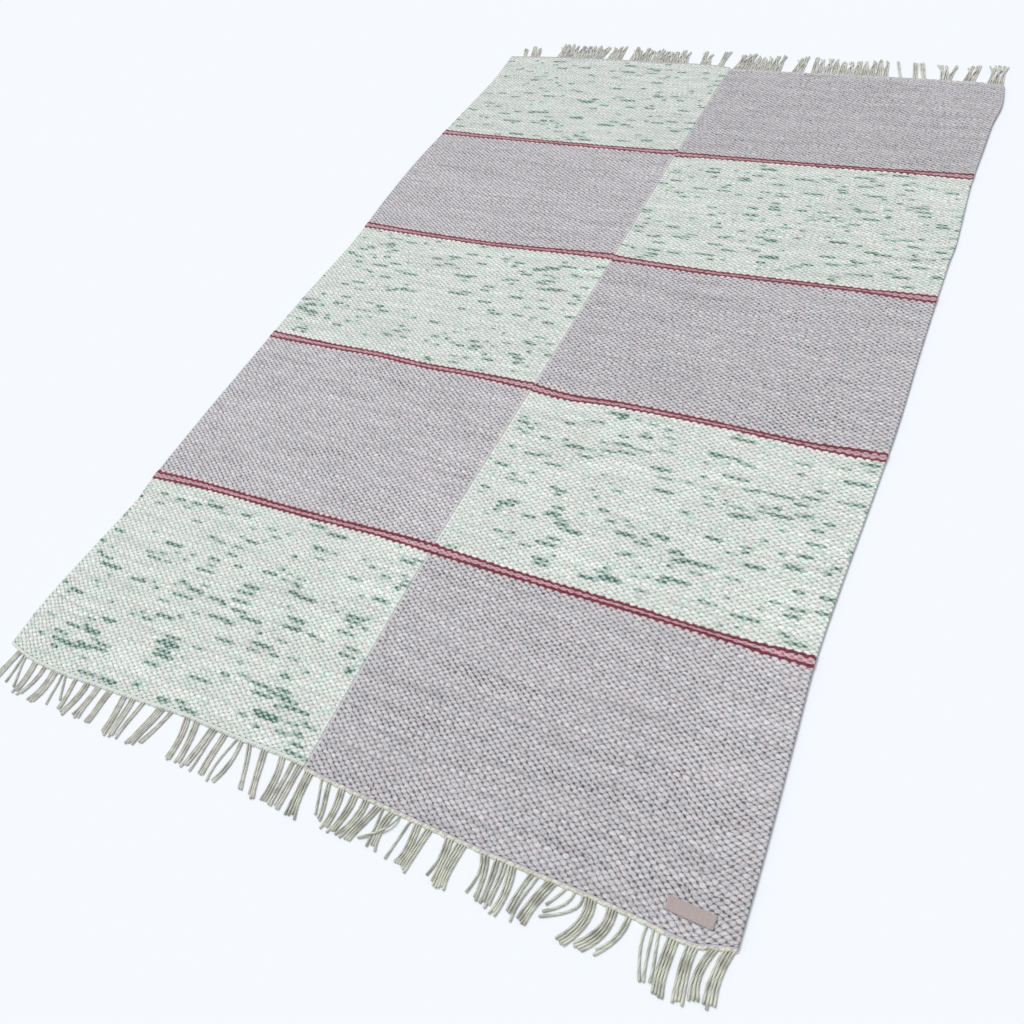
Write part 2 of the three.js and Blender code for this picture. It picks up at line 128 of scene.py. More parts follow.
RIGHT_FLECKS = {
    3: [
        (637, 628, 34), (600, 551, 30), (726, 426, 32), (660, 410, 28), (825, 411, 42), (988, 410, 20),
        (732, 356, 34), (577, 1240, 30), (982, 1146, 24), (681, 1127, 30), (835, 1081, 34), (740, 1020, 36),
    ],
    2.5: [
        (820, 627, 40), (987, 628, 26), (690, 597, 24), (978, 592, 40), (747, 508, 30), (903, 511, 34),
        (860, 501, 34), (515, 492, 26), (834, 452, 24), (683, 454, 18), (553, 427, 30), (770, 435, 28),
        (893, 427, 30), (640, 417, 24), (634, 382, 34), (810, 379, 44), (705, 348, 28), (672, 1263, 34),
        (739, 1242, 32), (713, 1147, 22), (758, 1151, 22), (871, 1149, 26), (642, 1081, 6), (988, 1082, 20),
        (507, 1060, 22), (891, 1063, 22), (956, 1058, 20), (879, 1035, 26), (993, 1024, 12),
        (804, 1013, 22), (945, 1012, 32), (733, 1005, 20),
    ],
    2: [
        (615, 604, 26), (808, 592, 42), (650, 557, 24), (678, 558, 30), (732, 546, 36), (830, 558, 44),
        (940, 565, 20), (931, 552, 28), (896, 545, 34), (985, 556, 26), (548, 521, 26), (585, 512, 26),
        (667, 475, 12), (985, 455, 16), (510, 448, 14), (560, 433, 24), (700, 440, 16), (752, 419, 26),
        (938, 438, 30), (742, 396, 20), (562, 380, 18), (793, 370, 16), (958, 381, 28), (988, 386, 22),
        (955, 372, 24), (724, 370, 14), (853, 360, 20), (905, 353, 46), (640, 348, 26), (858, 1276, 22),
        (840, 1262, 30), (823, 1263, 8), (851, 1257, 8), (637, 1230, 26), (637, 1222, 24), (778, 1251, 24),
        (808, 1232, 16), (808, 1222, 18), (842, 1237, 26), (912, 1237, 22), (522, 1203, 26),
        (765, 1202, 40), (865, 1212, 26), (685, 1195, 22), (716, 1187, 24), (572, 1187, 34),
        (613, 1187, 28), (538, 1168, 20), (768, 1168, 10), (935, 1191, 36), (945, 1183, 28),
        (890, 1178, 18), (950, 1172, 24), (871, 1170, 10), (552, 1157, 16), (712, 1165, 20),
        (712, 1155, 22), (847, 1128, 26), (842, 1113, 6), (775, 1100, 10), (630, 1084, 18), (678, 1078, 16),
        (723, 1091, 16), (818, 1090, 10), (772, 1076, 16), (563, 1068, 30), (710, 1068, 18),
        (733, 1062, 24), (653, 1057, 22), (538, 1037, 28), (647, 1037, 26), (716, 1034, 20),
        (825, 1041, 24), (968, 1040, 28), (553, 1024, 24), (672, 1024, 28), (938, 1030, 10),
        (893, 1007, 26), (640, 1008, 36), (552, 1002, 26), (588, 1002, 26), (652, 997, 14),
    ],
}
SCATTERED_FLECKS = {2.2: 300, 1.5: 480}
SCATTERED_LENGTHS = (4, 26)

WARP_PAIRS = 96
WEFTS_IN_PANEL = 94
PANELS = 5
WEFTS = WEFTS_IN_PANEL * PANELS
DARK_LINE_HEIGHT = 3.7
STRIPE_WEFTS = np.array([-3.5, -1.5, 1.5, 3.5])

# How high the top of the cloth is at each kind of place, and how uneven its heights and places are
BEAD_TOP = 5.0
PIT_TOP = 3.8
VALLEY_TOP = 4.5
SELVEDGE_ACROSS = np.array([0.0, 0.2, 0.5])
SELVEDGE_TOPS = np.array([3.7, 4.8, 5.0])
GROOVE_TOP = 4.3
STRIPE_TOP = 4.8
END_TOP = 4.5
EDGE_ROUNDING = 1.4
SPREAD_ACROSS = 0.35
SPREAD_ALONG = 0.3
BEAD_SPREAD = 0.12
PIT_SPREAD = 0.2
VALLEY_SPREAD = 0.08
STRIPE_REACH = 4
STRIPE_FLATNESS = 0.3

# The columns of the lattice, which lie between the selvedges, and how often its places are worked out again
LATTICE_START = 3
LATTICE_END = -4
ROUNDS = 3
SHORTEST_FLECK = 11.0
FLECK_BESIDE = 0.2


def smooth_offset(rows, at):
    """Cubic through a table's offsets, which has at each row the slope of the line from the row before to
    the row after: a(1+2t)(1-t)^2 + b(3-2t)t^2 + span(slope_a t(1-t)^2 - slope_b (1-t)t^2)."""
    places, offsets = np.array(rows, float).T
    last = len(places) - 1
    place = np.clip(at, places[0], places[-1])
    end = np.clip(np.searchsorted(places, place), 1, last)
    start = end - 1
    before = np.maximum(start - 1, 0)
    after = np.minimum(end + 1, last)
    span = places[end] - places[start]
    slope_a = (offsets[end] - offsets[before]) / (places[end] - places[before])
    slope_b = (offsets[after] - offsets[start]) / (places[after] - places[start])
    t = (place - places[start]) / span
    rest = 1 - t
    values = offsets[start] * (1 + 2 * t) * rest * rest + offsets[end] * (3 - 2 * t) * t * t
    return values + span * (slope_a * t * rest * rest - slope_b * rest * t * t)


# The sides, the seam and the ends in the plan: each is a straight line with its table's offset


def left_edge(y):
    return smooth_offset(LEFT_EDGE, y)


def seam(y):
    return RUG_WIDTH / 2 + smooth_offset(SEAM, y)


def right_edge(y):
    return RUG_WIDTH + smooth_offset(RIGHT_EDGE, y)


def near_end(rows, x):
    return -smooth_offset(rows, x)


def far_end(rows, x):
    return RUG_LENGTH + smooth_offset(rows, x)


def weft_lines(near, far, stripes, spreads, x):
    """The lines across the cloth that its wefts follow, from the near end to the far one: each end, and
    the two sides of both dark lines of every stripe. Returns their weft numbers and their y at each x."""
    numbers = [0.0]
    lines = [near_end(near, x) + HEADING_WIDTH + PIECE_GAP]
    for k, (place, wander) in enumerate(zip(STRIPE_PLACES, stripes), start=1):
        middle = place + smooth_offset(wander, x)
        half = smooth_offset(spreads, x) / 2
        numbers.extend(k * WEFTS_IN_PANEL + STRIPE_WEFTS)
        for dark_line in (middle - half, middle + half):
            lines.extend([dark_line - DARK_LINE_HEIGHT / 2, dark_line + DARK_LINE_HEIGHT / 2])
    numbers.append(float(WEFTS))
    lines.append(far_end(far, x) - HEADING_WIDTH - PIECE_GAP)
    return np.array(numbers), np.stack(lines)


def cells_of(index):
    """The four corners of each cell of a grid of point numbers, counter-clockwise."""
    return np.stack([index[:-1, :-1], index[:-1, 1:], index[1:, 1:], index[1:, :-1]], -1)


def rim_of(index):
    """The numbers round the rim of a grid, counter-clockwise from its near left corner."""
    return np.concatenate([index[0, :-1], index[:-1, -1], index[-1, :0:-1], index[:0:-1, 0]])


def wall(high, low):
    """The faces between two rings of point numbers."""
    return np.stack([low, np.roll(low, -1), np.roll(high, -1), high], -1)


def linked(name, data):
    """A new object in the scene."""
    thing = bpy.data.objects.new(name, data)
    bpy.context.scene.collection.objects.link(thing)
    return thing


def piece(name, points, faces, uv):
    """A smooth mesh object from points in millimetres of the plan, with one UV pair for each point."""
    mesh = bpy.data.meshes.new(name)
    mesh.from_pydata(((points + CORNER) * MILLIMETRE).tolist(), [], faces)
    corners = np.empty(len(mesh.loops), np.int32)
    mesh.loops.foreach_get("vertex_index", corners)
    layer = mesh.uv_layers.new(name="threads")
    layer.data.foreach_set("uv", uv[corners].astype(np.float32).ravel())
    mesh.polygons.foreach_set("use_smooth", np.full(len(mesh.polygons), True))
    mesh.update()
    return linked(name, mesh)


def teal_shown(flecks, x, y, chance):
    """How much teal shows at each crossing, from 0 to 1. A fleck lies in the weft that is nearest to it. It
    thins out at both ends as 3 - 3 (2 distance / length)^2, and a little of it shows in the next wefts."""
    teal = np.zeros_like(x)
    least, most = zip((x.min(), x.max()), (0, RUG_LENGTH), SCATTERED_LENGTHS)
    scattered = [
        (strength, chance.uniform(least, most, (count, 3))) for strength, count in SCATTERED_FLECKS.items()
    ]
    for strength, rows in [*flecks.items(), *scattered]:
        for place_across, place_along, length in rows:
            column = np.abs(x[0] - place_across).argmin()
            weft = np.clip(np.abs(y[:, column] - place_along).argmin(), 1, len(y) - 2)
            away = 2 * (x[weft] - place_across) / max(length, SHORTEST_FLECK)
            shown = np.clip(3 - 3 * away * away, 0, 1) * strength / 3
            teal[weft] = np.maximum(teal[weft], shown)
            for beside in (weft - 1, weft + 1):
                teal[beside] = np.maximum(teal[beside], shown * FLECK_BESIDE)
    return teal


def woven_strip(name, left, right, near, far, stripes, spreads, flecks, seed):
    """Cloth as a lattice of crossings. Column u is a pair of warps and row v is a weft: where u + v is even
    the weft rises over the warps as a bead, where it is odd it dips under them and leaves a pit, and the
    middle of each cell is the valley between two beads. The rim goes straight down to a flat underside."""
    chance = np.random.default_rng(seed)
    between = np.arange(1.0, WARP_PAIRS)
    across = np.concatenate([SELVEDGE_ACROSS, between, WARP_PAIRS - SELVEDGE_ACROSS[::-1]])
    wefts = np.arange(WEFTS + 1.0)
    columns, rows = len(across), len(wefts)

    # Where each crossing is in the plan, in rounds, because the edges wander with y and the wefts with x
    u, v = np.meshgrid(across, wefts)
    y = v * RUG_LENGTH / WEFTS
    for _ in range(ROUNDS):
        x = left(y) + (right(y) - left(y)) * u / WARP_PAIRS
        numbers, lines = weft_lines(near, far, stripes, spreads, x)
        after = np.clip(np.searchsorted(numbers, wefts), 1, len(numbers) - 1)
        share = ((wefts - numbers[after - 1]) / (numbers[after] - numbers[after - 1]))[:, None]
        row = np.arange(rows)
        y = lines[after - 1, row] * (1 - share) + lines[after, row] * share
    teal = teal_shown(flecks, x, y, chance)
    inside = np.zeros_like(x)
    inside[1:-1, LATTICE_START + 1:LATTICE_END] = 1
    x = x + inside * chance.normal(0, SPREAD_ACROSS, x.shape)
    y = y + inside * chance.normal(0, SPREAD_ALONG, y.shape)

    risen = (u + v) % 2 == 0
    bead_tops = BEAD_TOP + chance.normal(0, BEAD_SPREAD, x.shape)
    z = np.where(risen, bead_tops, PIT_TOP + chance.normal(0, PIT_SPREAD, x.shape))
    z[:, :LATTICE_START] = SELVEDGE_TOPS
    z[:, LATTICE_END + 1:] = SELVEDGE_TOPS[::-1]
    z[:, LATTICE_START] = GROOVE_TOP
    z[:, LATTICE_END] = GROOVE_TOP
    nearest = np.clip(np.round(v / WEFTS_IN_PANEL), 1, PANELS - 1) * WEFTS_IN_PANEL
    flattened = STRIPE_TOP + STRIPE_FLATNESS * (z - STRIPE_TOP)
    z = np.where(np.abs(v - nearest) < STRIPE_REACH, flattened, z)
    z[0] = END_TOP
    z[-1] = END_TOP
    grid = np.stack([x, y, z], axis=-1)

    # The lattice: four triangles round a middle point in each cell between two warps
    index = np.arange(rows * columns).reshape(rows, columns)
    corners = cells_of(index[:, LATTICE_START:LATTICE_END + 1])
    middles = grid.reshape(-1, 3)[corners].mean(axis=2)
    middles[..., 2] = VALLEY_TOP + chance.normal(0, VALLEY_SPREAD, middles.shape[:2])
    middle_teal = teal.reshape(-1)[corners].mean(axis=2)
    grid_uv = np.stack([u, v], -1).reshape(-1, 2)
    a, b, c, d = np.moveaxis(corners, -1, 0)
    middle_uv = grid_uv[a] + 0.5
    m = rows * columns + np.arange(a.size).reshape(a.shape)
    quarters = ((a, b, m), (b, c, m), (c, d, m), (d, a, m))
    cells = np.concatenate([np.stack(quarter, -1).reshape(-1, 3) for quarter in quarters])
    edge_cells = [cells_of(index[:, :LATTICE_START + 1]), cells_of(index[:, LATTICE_END:])]

    # The rim, and how far each of its points draws in below
    rim = rim_of(index)
    drawn = np.zeros((rows, columns, 3))
    drawn[:, 0, 0] = drawn[0, :, 1] = EDGE_ROUNDING
    drawn[:, -1, 0] = drawn[-1, :, 1] = -EDGE_ROUNDING
    rim_points = grid.reshape(-1, 3)[rim]
    side = rim_points * (1, 1, 0) + (0, 0, EDGE_ROUNDING)
    foot = rim_points * (1, 1, 0) + drawn.reshape(-1, 3)[rim]
    lower = rows * columns + m.size + np.arange(len(rim))
    lowest = lower + len(rim)

    points = np.concatenate([grid.reshape(-1, 3), middles.reshape(-1, 3), side, foot])
    uv = np.concatenate([grid_uv, middle_uv.reshape(-1, 2), grid_uv[rim], grid_uv[rim]])
    faces = cells.tolist()
    for quads in [*edge_cells, wall(rim, lower), wall(lower, lowest)]:
        faces.extend(quads.reshape(-1, 4).tolist())
    faces.append(lowest[::-1].tolist())
    strip = piece(name, points, faces, uv)
    shown = np.concatenate([teal.ravel(), middle_teal.ravel(), np.zeros(len(side) + len(foot))])
    layer = strip.data.attributes.new("teal", "FLOAT", "POINT")
    layer.data.foreach_set("value", shown.astype(np.float32))
    return strip


def seam_left(y):
    return seam(y) - PIECE_GAP / 2


def seam_right(y):
    return seam(y) + PIECE_GAP / 2


left_strip = woven_strip(
    "left_strip_cloth", left_edge, seam_left, NEAR_LEFT_END, FAR_LEFT_END,
    LEFT_STRIPES, LEFT_SPREADS, LEFT_FLECKS, seed=11)
right_strip = woven_strip(
    "right_strip_cloth", seam_right, right_edge, NEAR_RIGHT_END, FAR_RIGHT_END,
    RIGHT_STRIPES, RIGHT_SPREADS, RIGHT_FLECKS, seed=12)


def srgb(red, green, blue):
    """A colour as it is seen on a screen, from 0 to 255, turned into the linear one that shaders use."""
    seen = np.array([red, green, blue]) / 255
    linear = np.where(seen > 0.04045, ((seen + 0.055) / 1.055) ** 2.4, seen / 12.92)
    return (*linear.tolist(), 1.0)


def feed(tree, socket, value):
    """Gives a socket a number, a colour, or another node's output."""
    if isinstance(value, bpy.types.NodeSocket):
        tree.links.new(value, socket)
    else:
        socket.default_value = value


def fed(tree, node, *values):
    """Feeds a node's sockets in their order, and gives its first output."""
    for socket, value in zip(node.inputs, values):
        feed(tree, socket, value)
    return node.outputs[0]


def maths(tree, operation, *values):
    """One step of arithmetic on sockets or numbers."""
    node = tree.nodes.new("ShaderNodeMath")
    node.operation = operation
    return fed(tree, node, *values)


def minus(tree, first, second):
    return maths(tree, "SUBTRACT", first, second)


def times(tree, first, second):
    return maths(tree, "MULTIPLY", first, second)


def times_plus(tree, first, second, added):
    return maths(tree, "MULTIPLY_ADD", first, second, added)


def vector(tree, x, y, z=0.0):
    return fed(tree, tree.nodes.new("ShaderNodeCombineXYZ"), x, y, z)


def blended(tree, share, first, second, kind="MIX"):
    """The first colour where share is 0 and the second where it is 1."""
    node = tree.nodes.new("ShaderNodeMix")
    node.data_type = "RGBA"
    node.blend_type = kind
    feed(tree, node.inputs["Factor"], share)
    feed(tree, node.inputs[6], first)
    feed(tree, node.inputs[7], second)
    return node.outputs[2]


def ramp(tree, value, low, high, to_low=0.0, to_high=1.0):
    """Goes smoothly from to_low to to_high as the value goes from low to high."""
    node = tree.nodes.new("ShaderNodeMapRange")
    node.interpolation_type = "SMOOTHSTEP"
    return fed(tree, node, value, low, high, to_low, to_high)


def noise(tree, place, scale=1.0, detail=2.0):
    """Soft blotches that lie about 0.5."""
    node = tree.nodes.new("ShaderNodeTexNoise")
    node.inputs["Scale"].default_value = scale
    node.inputs["Detail"].default_value = detail
    return fed(tree, node, place)


def drawn_out(tree, column, row, across, along, layer):
    """Noise over the crossings, with its own scale across and along the rug."""
    place = vector(tree, times(tree, column, across), times(tree, row, along), layer)
    return noise(tree, place)


def shifted(tree, base, fuzzy, amount):
    """The base, plus the amount times a fuzzy value that lies about 0.5."""
    return times_plus(tree, minus(tree, fuzzy, 0.5), amount, base)


def split(tree, place):
    """The x, y and z of a vector."""
    node = tree.nodes.new("ShaderNodeSeparateXYZ")
    feed(tree, node.inputs[0], place)
    return node.outputs


def lots(tree, place):
    """One even random number for each place."""
    return fed(tree, tree.nodes.new("ShaderNodeTexWhiteNoise"), place)


def group(name, inputs, outputs):
    """An empty shader node group with the named sockets. Returns it with its input and output nodes."""
    tree = bpy.data.node_groups.new(name, "ShaderNodeTree")
    for in_out, sockets in (("INPUT", inputs), ("OUTPUT", outputs)):
        for socket, kind in sockets.items():
            tree.interface.new_socket(name=socket, in_out=in_out, socket_type="NodeSocket" + kind)
    return tree, tree.nodes.new("NodeGroupInput").outputs, tree.nodes.new("NodeGroupOutput").inputs


def placed(tree, node_group, **values):
    """A group node in a material, with its named inputs fed."""
    node = tree.nodes.new("ShaderNodeGroup")
    node.node_tree = node_group
    for name, value in values.items():
        feed(tree, node.inputs[name.replace("_", " ")], value)
    return node.outputs


# The beads: each crossing is the nearest point of the lattice whose column and row add up to an even
# number. It stands as a round hump. The pits between four beads lie slanted, as the yarn's twist pulls them.
# The lattice itself sways a little, as the wefts do when they are beaten down by hand.
BEAD_VALUES = ("Hump", "From Pit", "Row", "Column", "Lot", "Warp", "Weft")
weave, given, made = group("crossing wefts", {"Threads": "Vector"}, dict.fromkeys(BEAD_VALUES, "Float"))
straight_warp, straight_weft, _ = split(weave, given["Threads"])
sway = noise(weave, given["Threads"], 0.35, 1.0)
warp = shifted(weave, straight_warp, sway, 0.6)
jostle = noise(weave, vector(weave, straight_warp, straight_weft, 21.0), 1.1, 1.0)
warp = shifted(weave, warp, jostle, 0.9)
stretched = vector(weave, times(weave, straight_warp, 0.3), straight_weft, 7.0)
weft = shifted(weave, straight_weft, noise(weave, stretched, 0.6, 1.0), 0.8)
jostle = noise(weave, vector(weave, straight_warp, straight_weft, 33.0), 1.0, 1.0)
weft = shifted(weave, weft, jostle, 1.0)
whole_sum = maths(weave, "ROUND", times(weave, maths(weave, "ADD", warp, weft), 0.5))
whole_rest = maths(weave, "ROUND", times(weave, minus(weave, warp, weft), 0.5))
column = maths(weave, "ADD", whole_sum, whole_rest)
row = minus(weave, whole_sum, whole_rest)
across = minus(weave, warp, column)
along = minus(weave, weft, row)
squares = times_plus(weave, across, across, times(weave, along, along))
pulled = times_plus(weave, times(weave, across, along), 0.12, squares)
hump = maths(weave, "SQRT", maths(weave, "MAXIMUM", minus(weave, 1.0, pulled), 0.0))
wide = maths(weave, "GREATER_THAN", maths(weave, "ABSOLUTE", across), maths(weave, "ABSOLUTE", along))
high = minus(weave, 1.0, wide)
pit_across = minus(weave, across, times(weave, maths(weave, "SIGN", across), wide))
pit_along = minus(weave, along, times(weave, maths(weave, "SIGN", along), high))
squares = times_plus(weave, pit_across, pit_across, times(weave, pit_along, pit_along))
from_pit = times_plus(weave, times(weave, pit_across, pit_along), 1.5, squares)
lot = lots(weave, vector(weave, column, row, 3.0))
for name, value in zip(BEAD_VALUES, (hump, from_pit, row, column, lot, warp, weft)):
    feed(weave, made[name], value)

MAUVE = srgb(224, 220, 223)
MAUVE_PINK = srgb(226, 218, 220)
MAUVE_BLUE = srgb(217, 218, 223)
MINT = srgb(241, 247, 240)
MINT_GREY = srgb(232, 230, 224)
MINT_GREEN = srgb(220, 241, 231)
TEAL = srgb(99, 132, 122)
PALE_TEAL = srgb(192, 216, 205)
CRIMSON = srgb(140, 64, 80)
DARK_CRIMSON = srgb(86, 34, 48)
ROSE = srgb(222, 168, 178)
ROSE_GREY = srgb(206, 172, 180)
PINK_FRINGE = srgb(246, 218, 222)
WHITE_FRINGE = srgb(252, 246, 242)
# How dark the painted shade at the pits is, in mauve and in mint
PIT_SHADE_IN_MAUVE = 0.52
PIT_SHADE_IN_MINT = 0.9
BEAD_RELIEF = 3.6


def new_cotton(name, roughness=0.95, sheen=0.15, specular=0.2):
    """A new material with its node tree, its shader, and where on the cloth or yarn it is, in threads."""
    material = bpy.data.materials.new(name)
    material.use_nodes = True
    tree = material.node_tree
    cotton = tree.nodes["Principled BSDF"]
    cotton.inputs["Roughness"].default_value = roughness
    cotton.inputs["Sheen Weight"].default_value = sheen
    cotton.inputs["Specular IOR Level"].default_value = specular
    threads = tree.nodes.new("ShaderNodeUVMap")
    threads.uv_map = "threads"
    return material, tree, cotton, threads.outputs[0]


def raised(tree, cotton, height, depth, strength=1.0):
    """Relief: a height of 1 stands as high as the depth, in millimetres."""
    relief = tree.nodes.new("ShaderNodeBump")
    relief.inputs["Strength"].default_value = strength
    relief.inputs["Distance"].default_value = depth * MILLIMETRE
    feed(tree, relief.inputs["Height"], height)
    feed(tree, cotton.inputs["Normal"], relief.outputs[0])


def woven_cotton(name, starts_mint):
    """Cotton flatweave: wefts of mauve or mint cotton by panel, teal flecks in the mint ones, and the double
    stripes.
    """
    material, tree, cloth, threads = new_cotton(name)
    bead = placed(tree, weave, Threads=threads)
    row, column, hump, lot = bead["Row"], bead["Column"], bead["Hump"], bead["Lot"]
    where = tree.nodes.new("ShaderNodeTexCoord").outputs["Object"]
    fibres = noise(tree, where, 1100.0, 2.0)
    tufts = noise(tree, where, 330.0, 3.0)

    # Which panel the bead belongs to
    panel = maths(tree, "FLOOR", maths(tree, "DIVIDE", maths(tree, "ADD", row, 0.5), WEFTS_IN_PANEL))
    odd = maths(tree, "MODULO", panel, 2.0)
    mint_share = minus(tree, 1.0, odd) if starts_mint else odd

    # Where it is in a stripe: how many wefts from the stripe's middle, with edges that step in and out over
    # each pair of warps, as the beads do
    border = maths(tree, "ROUND", maths(tree, "DIVIDE", bead["Weft"], WEFTS_IN_PANEL))
    between = maths(tree, "COMPARE", border, PANELS / 2, PANELS / 2 - 0.75)
    step = maths(tree, "COSINE", times(tree, bead["Warp"], np.pi))
    apart = maths(tree, "ABSOLUTE", times_plus(tree, border, -WEFTS_IN_PANEL, bead["Weft"]))
    apart = times_plus(tree, step, 0.4, apart)
    in_stripe = times(tree, ramp(tree, apart, 3.2, 3.45, 1.0, 0.0), between)
    dark_line = ramp(tree, apart, 1.3, 1.55)
    near_stripe = times(tree, ramp(tree, apart, 3.4, 5.3, 0.8, 0.0), between)

    # Mauve and mint cotton, heathered from bead to bead
    weft_lot = lots(tree, vector(tree, row, 0.0, 5.0))
    stretch = drawn_out(tree, column, row, 0.04, 0.9, 1.0)
    tint = drawn_out(tree, column, row, 0.3, 0.25, 9.0)
    mauve = blended(tree, ramp(tree, tint, 0.35, 0.65), MAUVE_PINK, MAUVE_BLUE)
    mauve = blended(tree, 0.45, mauve, MAUVE)
    mint = blended(tree, ramp(tree, lot, 0.55, 1.0, 0.0, 0.8), MINT, MINT_GREY)
    mint = blended(tree, ramp(tree, tint, 0.5, 0.7, 0.0, 0.7), mint, MINT_GREEN)

    # Flecks: dark teal down beside the beads, and pale teal on their crowns, partly the yarn's paler strands
    # and partly a painted highlight
    teal = tree.nodes.new("ShaderNodeAttribute")
    teal.attribute_name = "teal"
    uneven_teal = shifted(tree, shifted(tree, teal.outputs["Fac"], fibres, 0.7), tufts, 0.9)
    beside_bead = ramp(tree, hump, 1.0, 0.75, 0.15, 1.0)
    dark_fleck = times(tree, ramp(tree, uneven_teal, 0.2, 0.6), beside_bead)
    pale_fleck = ramp(tree, teal.outputs["Fac"], 0.05, 0.45, 0.0, 0.85)
    mint = blended(tree, pale_fleck, mint, PALE_TEAL)
    mint = blended(tree, dark_fleck, mint, TEAL)

    ground = blended(tree, mint_share, mauve, mint)
    ground = blended(tree, near_stripe, ground, blended(tree, mint_share, PINK_FRINGE, WHITE_FRINGE))
    from_middle = maths(tree, "ABSOLUTE", minus(tree, bead["Warp"], WARP_PAIRS / 2))
    greyer = ramp(tree, from_middle, 22.0, 44.0, 0.25, 1.0)
    greyer = times(tree, greyer, ramp(tree, lot, 0.1, 0.7))
    rose = blended(tree, greyer, ROSE, ROSE_GREY)
    # In the stripes the rose goes half way to crimson down between the beads, and the crimson goes to dark
    # crimson there as painted shade
    rose = blended(tree, ramp(tree, hump, 0.85, 0.55, 0.0, 0.5), rose, CRIMSON)
    crimson = blended(tree, ramp(tree, hump, 0.5, 0.95), DARK_CRIMSON, CRIMSON)
    stripe = blended(tree, dark_line, rose, crimson)
    colour = blended(tree, in_stripe, ground, stripe)

    # The stiff edge of the strip at the seam is smooth, with fine ribs where each weft turns back
    from_seam = minus(tree, WARP_PAIRS, bead["Warp"]) if starts_mint else bead["Warp"]
    inside = ramp(tree, from_seam, 0.42, 0.62)
    ribs = maths(tree, "ABSOLUTE", maths(tree, "COSINE", times(tree, bead["Weft"], np.pi)))
    edge_hump = times_plus(tree, ribs, 0.3, 0.62)
    relief_hump = times_plus(tree, minus(tree, hump, edge_hump), inside, edge_hump)

    # Light and dark from weft to weft and bead to bead, and painted shade down between the beads
    even = times_plus(tree, weft_lot, 0.07, times_plus(tree, lot, 0.12, 0.9))
    for fuzzy, amount in ((stretch, 0.6), (fibres, 0.6), (tufts, 0.5)):
        even = shifted(tree, even, fuzzy, amount)
    on_edge = minus(tree, 1.0, inside)
    from_pit = maths(tree, "MAXIMUM", bead["From Pit"], on_edge)
    # Painted shade at the pits: darker in mauve than in mint, uneven in broad bands, and in the mauve darker
    # still, with the whole colour a little darker, along long streaks
    pit = times_plus(tree, mint_share, PIT_SHADE_IN_MINT - PIT_SHADE_IN_MAUVE, PIT_SHADE_IN_MAUVE)
    band = drawn_out(tree, column, row, 0.03, 0.11, 17.0)
    pit = shifted(tree, pit, band, times_plus(tree, mint_share, 0.5, -1.0))
    streak = ramp(tree, drawn_out(tree, column, row, 0.022, 0.16, 29.0), 0.55, 0.68)
    streak = times(tree, streak, minus(tree, 1.0, mint_share))
    pit = times_plus(tree, streak, -0.25, pit)
    even = times_plus(tree, streak, -0.05, even)
    # Painted shade in the furrows between the beads, and a faint painted highlight on their crowns
    furrow = times_plus(tree, mint_share, 0.13, 0.8)
    furrow = ramp(tree, relief_hump, 0.6, 1.0, furrow, 1.03)
    painted_shading = times(tree, furrow, ramp(tree, from_pit, 0.0, 0.13, pit, 1.0))
    # Less painted shade in the stripes and in the dark teal of the flecks
    painted_shading = maths(tree, "MAXIMUM", painted_shading, times(tree, in_stripe, 0.75))
    in_fleck = times(tree, times(tree, dark_fleck, mint_share), 0.8)
    painted_shading = maths(tree, "MAXIMUM", painted_shading, in_fleck)
    # Darker towards the far panels; in the strip that starts mauve, darker all over, its mauve most of all,
    # and most near the near end
    darker_by_panel = ramp(tree, panel, 1.0, 4.0, 1.0, 0.95)
    if not starts_mint:
        nearest = ramp(tree, row, 0, 80, 0.9, 0.95)
        darker_by_panel = times(tree, darker_by_panel, times_plus(tree, mint_share, 0.05, nearest))
    # Painted light on the stiff edge: no pit or furrow shade there, and the colour a tenth lighter, against
    # the shade of its slope
    painted_shading = times_plus(tree, minus(tree, 1.1, painted_shading), on_edge, painted_shading)
    # Painted shade on the sides and foot of the strip: below the pits the colour darkens to under half
    # towards the floor
    pit_top = PIT_TOP * MILLIMETRE
    low = ramp(tree, split(tree, where)[2], 0.4 * pit_top, 0.85 * pit_top, 0.45, 1.0)
    shade = times(tree, times(tree, even, darker_by_panel), times(tree, painted_shading, low))
    colour = blended(tree, 1.0, colour, vector(tree, shade, shade, shade), "MULTIPLY")
    feed(tree, cloth.inputs["Base Color"], colour)

    # Relief: the bead, lower in the thin wefts of a stripe, with the fine fibres of its yarn
    height = times(tree, relief_hump, times_plus(tree, in_stripe, -0.55, 1.0))
    raised(tree, cloth, times_plus(tree, fibres, 0.2, height), BEAD_RELIEF)
    return material


left_strip.data.materials.append(woven_cotton("woven cotton from mint", True))
right_strip.data.materials.append(woven_cotton("woven cotton from mauve", False))
finishes = ((left_strip, "left_strip", "mint_cotton"), (right_strip, "right_strip", "mauve_cotton"))
for strip, node, finish in finishes:
    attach(strip, "root")
    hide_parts(node)

# Headings
# A thick cream cotton yarn, doubled and twined over the last weft of each end, locks the cloth. One turn
# shows as a slanted round bead over each pair of warps.
BEAD_PITCH = 10.3
STEPS_IN_BEAD = 7
END_INSET = 0.3
CLOTH_CLEARANCE = 0.1
TURN_SWELL = 0.08
TURN_SLANT = 0.55
HAND_SWELL = 0.06
HEADING_PROFILE = np.array([
    (0.0, 0.0), (0.0, 4.4), (0.9, 4.6), (2.0, 4.4), (3.1, 3.7), (4.0, 2.6), (4.4, 1.2), (4.1, 0.0),
])


def tube_faces(tubes, rings, sides):
    """The faces round tubes whose points are numbered side by side and ring by ring, and their two ends."""
    index = np.arange(tubes * rings * sides).reshape(tubes, rings, sides)
    a, b = index[:, :-1], index[:, 1:]
    quads = np.stack([a, b, np.roll(b, -1, axis=2), np.roll(a, -1, axis=2)], -1)
    return quads.reshape(-1, 4).tolist() + index[:, 0].tolist() + index[:, -1, ::-1].tolist()


